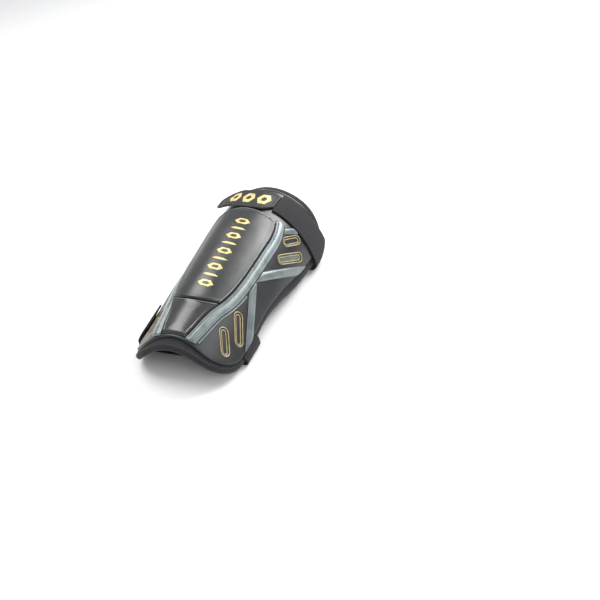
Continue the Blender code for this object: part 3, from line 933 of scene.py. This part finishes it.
def makeSlotFloor(hand, side):
    # rings that shrink from the inner outline to its middle, closed by a small cap
    ends = shellLook["slots"]["c"]
    rim = slotPath(ends, shellLook["slotWidth"] / 2 - goldLook["innerIn"])
    middle = rim.mean(0)
    share = np.array([0.02, 0.35, 0.7, 1.0])
    grid = middle + (rim[:, None, :] - middle) * share[None, :, None]
    floor = onShell() - guard["layerGap"] - shellLook["slotDepth"]
    lift = goldLook["floorLift"] * (2 - share)
    points = placeOnGuard(side * grid[..., 0], grid[..., 1], floor + lift)
    faces = gridFaces(len(rim), len(share), 0, closeRows=True, flip=side < 0).tolist()
    faces.append(list(range(0, len(rim) * len(share), len(share))))
    piece = makeObject(f"slot_floor_c_{hand}", points.reshape(-1, 3), faces)
    # the lighter grey-green floor is a painted reflection
    finishPiece(piece, reflectionFloorPaint, "satin_shell")


# Elastic straps

strapLook = {
    "thickness": 1.8 * mm,
    "kneeBackY": 205.5 * mm,
    "kneeTuck": 0.85,
    "kneeSewn": 14 * mm,
    "sewnGap": 0.8 * mm,
    "ankleWidth": 30 * mm,
    "ankleY": 53 * mm,
    "ankleSlant": -3 * mm,
    "ankleSewn": 5.0 * mm,
    "ankleEnd": 46 * mm,
    "bend": 3.2 * mm,
    "swoop": 0.9,
    "step": 1.4 * mm,
    "edge": 0.8 * mm,
    "edgeLow": 0.45,
}


def bendPoints(x, z, start, end):
    # a circular bend round (x, z) between two angles
    angle = np.radians(np.linspace(start, end, 14))
    return np.stack([x + strapLook["bend"] * np.cos(angle), z + strapLook["bend"] * np.sin(angle)], -1)


def swoopPoints(start, end):
    # a quarter ellipse from start down to end
    angle = np.radians(np.linspace(0, 90, 18))[1:]
    x = end[0] + (start[0] - end[0]) * np.cos(angle)
    z = start[1] + (end[1] - start[1]) * np.sin(angle)
    return np.stack([x, z], -1)


def atPlace(flatPath, y):
    return np.stack([flatPath[:, 0], np.full(len(flatPath), y), flatPath[:, 1]], -1)


def kneePath(offset):
    # over the shell from the tab, down the right side, flat behind, and under the left edge
    middle = strapLook["thickness"] / 2
    frontY, backY = guard["kneeStrapY"], strapLook["kneeBackY"]
    back = backY + offset
    tuck = strapLook["kneeTuck"] * cornerCut(guard["length"] - back, guard["kneeCorner"])
    s = np.linspace(guard["tabStart"] + guard["layerGap"],
                    halfGirth(back) - strapLook["bend"] - tuck, 50)
    fade = (s - s[0]) / (s[-1] - s[0])
    y = frontY + (backY - frontY) * fade + offset
    front = placeOnGuard(s, y, onShell() + middle) - shift
    x, _, z = front[-1]
    under = swoopPoints((x, z), (x - strapLook["swoop"] * (z - middle), middle))
    s = -halfGirth(back) + np.linspace(2 * strapLook["bend"], strapLook["kneeSewn"], 8)
    inner = -guard["padThickness"] - strapLook["sewnGap"] - middle
    sewn = placeOnGuard(s, back, inner) - shift
    left = (placeOnGuard(-halfGirth(back), back, inner) - shift)[0]
    turn = bendPoints(left + strapLook["bend"], strapLook["bend"] + middle, 270, 185)
    flat = np.linspace(under[-1], turn[0], 30)[1:-1]
    return np.concatenate([front, atPlace(np.concatenate([under, flat, turn]), back), sewn]) + shift


def anklePath(offset):
    # from the pad's right border, flat behind, and up over the left flank
    middle = strapLook["thickness"] / 2
    rightY = strapLook["ankleY"] + offset
    leftY = rightY + strapLook["ankleSlant"]
    above = guard["layerGap"] + middle
    sewn = strapLook["ankleSewn"]
    s = np.linspace(halfGirth(rightY) - sewn, halfGirth(rightY), 8)
    start = placeOnGuard(s, rightY, above) - shift
    s = -np.linspace(halfGirth(leftY) - sewn, strapLook["ankleEnd"], 24)
    end = placeOnGuard(s, leftY, onShell() + silverLook["ribRise"] + above) - shift
    x = start[-1, 0] + guard["layerGap"]
    leftX = end[0, 0] - guard["layerGap"]
    right = bendPoints(x - strapLook["bend"], strapLook["bend"] + middle, 0, -90)
    left = bendPoints(leftX + strapLook["bend"], strapLook["bend"] + middle, 270, 180)
    flat = np.linspace(right[-1], left[0], 30)[1:-1]
    under = atPlace(np.concatenate([right, flat, left]), rightY)
    under[:, 1] = rightY + strapLook["ankleSlant"] * np.clip((x - under[:, 0]) / (x - leftX), 0, 1)
    return np.concatenate([start, under, end]) + shift


def makeStrap(name, width, pathAt, node):
    # a path in each plane across the width, thinned to a soft edge on both sides
    across = spread(width, strapLook["step"], strapLook["edge"]) - width / 2
    middle = np.stack([pathAt(offset) for offset in across], 1)
    step = np.gradient(middle[..., [0, 2]], axis=0)
    step = step / np.linalg.norm(step, axis=-1, keepdims=True)
    normal = np.stack([-step[..., 1], 0 * step[..., 0], step[..., 0]], -1)
    low = strapLook["edgeLow"]
    thin = low + (1 - low) * roundEdge(width / 2 - np.abs(across), strapLook["edge"])
    half = (strapLook["thickness"] / 2 * thin)[None, :, None]
    along = travelled(middle[:, len(across) // 2])
    uv = np.stack(np.broadcast_arrays(along[:, None], across[None, :]), -1)
    piece = makeSlab(name, middle - normal * half, middle + normal * half, uv)
    return finishPiece(piece, elasticWeb, "elastic", node)


makeStrap("knee_elastic", guard["kneeStrapWidth"], kneePath, "knee_strap")
makeStrap("ankle_elastic", strapLook["ankleWidth"], anklePath, "ankle_strap")
print("straps made")


# Moulded strap tab

tabLook = {
    "length": 64 * mm,
    "width": 31 * mm,
    "thickness": 2.2 * mm,
    "standoff": 7.0 * mm,
    "chamfer": 9.0 * mm,
    "tip": 26 * mm,
    "bow": 5 * mm,
    "rim": 2.2 * mm,
    "fieldDepth": 0.6 * mm,
    "fieldSlope": 0.7 * mm,
    "chamferSlope": 1.2,
    "tipLow": 0.34,
    "step": 0.9 * mm,
    "edge": 0.8 * mm,
    "edgeLow": 0.45,
}


def tabPoint(t, w, h):
    # t from the inner end to the tip, w from -0.5 to 0.5 across, h above the underside; the width
    # narrows straight at the inner end and by a square root at the tip, which lifts by a square
    s = guard["tabStart"] - tabLook["length"] * t
    tipS = guard["tabStart"] - tabLook["length"]
    nearStart = np.clip(guard["tabStart"] - s, 0, tabLook["chamfer"])
    nearTip = np.clip(s - tipS, 0, tabLook["tip"])
    width = tabLook["width"] - tabLook["chamferSlope"] * (tabLook["chamfer"] - nearStart)
    low = tabLook["tipLow"]
    width = np.minimum(width, tabLook["width"] * (low + (1 - low) * np.sqrt(nearTip / tabLook["tip"])))
    lean = np.clip(-s / (tabLook["length"] - guard["tabStart"]), 0, 1)
    bow = tabLook["bow"] * np.clip(1 - (s / guard["tabStart"]) ** 2, 0, 1)
    middle = guard["kneeStrapY"] - bow
    lift = tabLook["standoff"] * lean ** 2
    return placeOnGuard(s, middle + width * w, onShell() + lift + h), width


def makeTab():
    step, edge, low = tabLook["step"], tabLook["edge"], tabLook["edgeLow"]
    t = spread(tabLook["length"], step, edge) / tabLook["length"]
    across = spread(tabLook["width"], step, edge) / tabLook["width"] - 0.5
    t, w = np.meshgrid(t, across, indexing="ij")
    width = tabPoint(t, w, 0)[1]
    inside = np.minimum((0.5 - np.abs(w)) * width, np.minimum(t, 1 - t) * tabLook["length"])
    top = tabLook["thickness"] * (low + (1 - low) * roundEdge(inside, edge))
    fieldFrom = tabLook["rim"]
    top = top - tabLook["fieldDepth"] * softStep(fieldFrom, fieldFrom + tabLook["fieldSlope"], inside)
    piece = makeSlab("strap_tab_moulding", tabPoint(t, w, 0)[0], tabPoint(t, w, top)[0])
    finishPiece(piece, tabRubber, "tab_rubber", "strap_tab")


makeTab()
print("tab made")


# Generic gold marks in the places of the lettering

markLook = {
    "panelFirst": 76 * mm,
    "panelPitch": 10.6 * mm,
    "panelCount": 9,
    "panelCentre": 4 * mm,
    "panelHalf": (7.2 * mm, 3.7 * mm),
    "barHalf": (7.2 * mm, 1.3 * mm),
    "panelHole": 0.46,
    "barHole": 0.05,
    "crownShare": 0.9,
    "tabPlaces": (0.19, 0.43, 0.68),
    "tabHalf": (6.6 * mm, 0.27),
    "tabHole": 0.38,
    "rise": 0.3 * mm,
    "slope": 0.03,
}


def hexagon(points=6):
    # outline of a hexagon, each side cut in parts so that it bends with the surface
    angle = np.radians(np.arange(7) * 60)
    corner = np.stack([np.cos(angle), np.sin(angle) / math.sin(math.radians(60))], -1)
    t = np.linspace(0, 1, points, endpoint=False)[:, None]
    return np.concatenate([a + (b - a) * t for a, b in zip(corner[:-1], corner[1:])])


def hexagonRing(name, centre, half, hole, height, surface):
    # outer and inner outlines, each with a low and a raised point
    outline = hexagon() * half
    rise, slope = markLook["rise"], markLook["slope"]
    share = np.array([1.0, 1 - slope, hole + slope, hole])
    lift = np.array([-rise, rise, rise, -rise])
    grid = np.array(centre) + outline[:, None, :] * share[None, :, None]
    points = surface(grid[..., 0], grid[..., 1], height + lift)
    return makeTube(name, points, closeRows=True, sharp=30)


def makePanelMarks():
    height = onShell() + panelLook["upperRise"] + panelLook["crown"] * markLook["crownShare"]
    # rings and bars in turn
    kinds = ((markLook["panelHalf"], markLook["panelHole"]), (markLook["barHalf"], markLook["barHole"]))
    parts = []
    for k in range(markLook["panelCount"]):
        centre = (markLook["panelCentre"], markLook["panelFirst"] + k * markLook["panelPitch"])
        parts.append(hexagonRing(f"mark{k}", centre, *kinds[k % 2], height, placeOnGuard))
    piece = joinPieces("panel_print", parts)
    finishPiece(piece, goldPaint, "gold")


def makeTabMarks():
    def onTab(t, w, h):
        return tabPoint(t, w, h)[0]
    half = (markLook["tabHalf"][0] / tabLook["length"], markLook["tabHalf"][1])
    height = tabLook["thickness"] - tabLook["fieldDepth"]
    parts = [hexagonRing(f"mark{k}", (t, 0), half, markLook["tabHole"], height, onTab)
             for k, t in enumerate(markLook["tabPlaces"])]
    piece = joinPieces("tab_print", parts)
    finishPiece(piece, goldPaint, "gold")


for hand, side in (("left", -1), ("right", 1)):
    makeSlotFloor(hand, side)
makePanelMarks()
makeTabMarks()
print("gold marks made")


# Stitches round the pad's border

stitchLook = {
    "length": 2.6 * mm,
    "pitch": 3.4 * mm,
    "radius": 0.28 * mm,
    "lift": 0.25 * mm,
    # share of the length, share of the radius, dip in radii
    "profile": (
        (-0.50, 0.25, -1.2),
        (-0.42, 0.85, -0.2),
        (-0.20, 1.00, 0.3),
        (0.20, 1.00, 0.3),
        (0.42, 0.85, -0.2),
        (0.50, 0.25, -1.2),
    ),
}


def readPath(values, travel, where):
    return np.stack([np.interp(where, travel, values[:, i]) for i in range(3)], -1)


def sewRow(name, path, up):
    # one small capsule for each stitch, all in one mesh, laid along the path
    travel = travelled(path)
    at = np.arange(stitchLook["pitch"] / 2, travel[-1], stitchLook["pitch"])
    centre = readPath(path, travel, at)
    along = readPath(path, travel, at + 0.5 * mm) - readPath(path, travel, at - 0.5 * mm)
    along = along / np.linalg.norm(along, axis=1, keepdims=True)
    across = np.cross(along, readPath(up, travel, at))
    across = across / np.linalg.norm(across, axis=1, keepdims=True)
    normal = np.cross(across, along)
    place, width, dip = np.array(stitchLook["profile"]).T
    width, dip = width * stitchLook["radius"], dip * stitchLook["radius"]
    turn = np.radians(np.arange(6) * 60)
    a = np.repeat(place[:, None] * stitchLook["length"], len(turn), 1)
    b = width[:, None] * np.cos(turn)
    c = width[:, None] * np.sin(turn) + dip[:, None]
    shape = np.stack([a, b, c], -1).reshape(-1, 3)
    points = centre[:, None, :] + shape @ np.stack([along, across, normal], 1)
    one = gridFaces(len(place), len(turn), 0, closeColumns=True).tolist()
    one += [list(range(len(turn)))[::-1], list(range(len(shape) - len(turn), len(shape)))]
    faces = [[v + len(shape) * k for v in face] for k in range(len(centre)) for face in one]
    piece = makeObject(name, points.reshape(-1, 3), faces)
    return finishPiece(piece, thread, "pad_fabric")


def borderLoop(inset):
    # the pad's outline drawn in by an inset, as a closed run of (s, y)
    start = guard["ankleEnd"] + inset
    length = guard["length"] - guard["ankleEnd"] - 2 * inset
    low, high = (tuple(v - inset for v in guard[key]) for key in ("ankleCorner", "kneeCorner"))
    row = spread(length, 1.5 * mm, 30 * mm)
    half = halfGirth(row + start) - inset - cornerCut(row, low) - cornerCut(length - row, high)
    y = row + start
    across = np.linspace(-1, 1, 60)[1:-1]
    ankleEdge = np.stack([half[0] * across, np.full(len(across), y[0])], -1)
    kneeEdge = np.stack([-half[-1] * across, np.full(len(across), y[-1])], -1)
    rightEdge, leftEdge = np.stack([half, y], -1), np.stack([-half, y], -1)[::-1]
    return np.concatenate([ankleEdge, rightEdge, kneeEdge, leftEdge, ankleEdge[:1]])


def sewBorder():
    loop = borderLoop(padding["stitchIn"])
    path = placeOnGuard(*loop.T, stitchLook["lift"])
    up = placeOnGuard(*loop.T, 1 * mm) - placeOnGuard(*loop.T, 0.0)
    sewRow("border_stitching", path, up)


sewBorder()
print("stitches made")


# Camera, light and floor

viewing = {
    "target": (0 * mm, 118.88 * mm, 27.53 * mm),
    "azimuth": 33.84,
    "elevation": 33.81,
    "distance": 989.9 * mm,
    "roll": 12.77,
    "lens": 60.98,
    "targetPixel": (227.9, 283.1),
    "imageWidth": 600,
    "sensor": 36,
}


def makeCamera():
    azimuth, elevation = math.radians(viewing["azimuth"]), math.radians(viewing["elevation"])
    reach = math.cos(elevation)
    back = np.array([math.sin(azimuth) * reach, -math.cos(azimuth) * reach, math.sin(elevation)])
    level = np.array([math.cos(azimuth), math.sin(azimuth), 0])
    rise = np.cross(back, level)
    roll = math.radians(viewing["roll"])
    right = level * math.cos(roll) - rise * math.sin(roll)
    up = np.cross(back, right)
    focal = viewing["lens"] / viewing["sensor"] * viewing["imageWidth"]
    centre = viewing["imageWidth"] / 2
    aim = np.array([viewing["targetPixel"][0] - centre, centre - viewing["targetPixel"][1], -focal])
    aim = aim / np.linalg.norm(aim)
    # turn the camera so that the target falls on its pixel
    axis = np.cross(aim, (0, 0, -1))
    turn = Matrix.Rotation(math.asin(np.linalg.norm(axis)), 3, Vector(axis).normalized())
    basis = Matrix([[right[i], up[i], back[i]] for i in range(3)]) @ turn
    data = bpy.data.cameras.new("photo_camera")
    data.lens = viewing["lens"]
    data.sensor_width = viewing["sensor"]
    data.clip_start = 0.01
    camera = bpy.data.objects.new("photo_camera", data)
    place = Vector(np.array(viewing["target"]) + shift) + viewing["distance"] * Vector(back)
    camera.matrix_world = Matrix.Translation(place) @ basis.to_4x4()
    bpy.context.scene.collection.objects.link(camera)
    bpy.context.scene.camera = camera


lighting = {
    "aim": (0, 0, 30 * mm),
    "world": "#f4f5f7",
    "worldStrength": 0.55,
    "panels": (
        # name, place, size, power
        ("key_softbox", (-0.45, 0.10, 0.85), (0.7, 0.5), 6.0),
        ("fill_softbox", (0.75, -0.45, 0.55), (0.6, 0.6), 3.0),
        ("back_softbox", (0.32, 0.78, 0.66), (0.75, 0.45), 12.0),
    ),
}


def makeLights():
    for name, place, size, power in lighting["panels"]:
        data = bpy.data.lights.new(name, "AREA")
        data.shape = "RECTANGLE"
        data.size, data.size_y = size
        data.energy = power
        light = bpy.data.objects.new(name, data)
        light.location = place
        aim = Vector(lighting["aim"]) - Vector(place)
        light.rotation_euler = aim.to_track_quat("-Z", "Y").to_euler()
        bpy.context.scene.collection.objects.link(light)
    world = bpy.data.worlds.new("studio")
    world.use_nodes = True
    sky = world.node_tree.nodes["Background"]
    sky.inputs["Color"].default_value = toLinear(lighting["world"])
    sky.inputs["Strength"].default_value = lighting["worldStrength"]
    bpy.context.scene.world = world


def makeFloor():
    # uncoated paper: white, matt, with a hardly visible cloudiness
    material, tree, shader = startMaterial("white_paper_sweep", {"Roughness": 0.9})
    place = addNode(tree, "ShaderNodeTexCoord").outputs["Object"]
    cloud = addNode(tree, "ShaderNodeTexNoise", None, {"Vector": place, "Scale": 3.0})
    ramp = makeRamp(tree, cloud.outputs["Fac"], 0.3, 0.7, ("#f6f6f6", "#fbfbfb"))
    tree.links.new(ramp.outputs["Color"], shader.inputs["Base Color"])
    size = 4.0
    points = np.array([(-size, -size, 0), (size, -size, 0), (size, size, 0), (-size, size, 0)])
    floor = makeObject("paper_floor", points, np.array([[0, 1, 2, 3]]))
    floor.data.materials.append(material)


makeCamera()
makeLights()
makeFloor()
bpy.context.scene.view_settings.view_transform = "Standard"
print("studio ready")
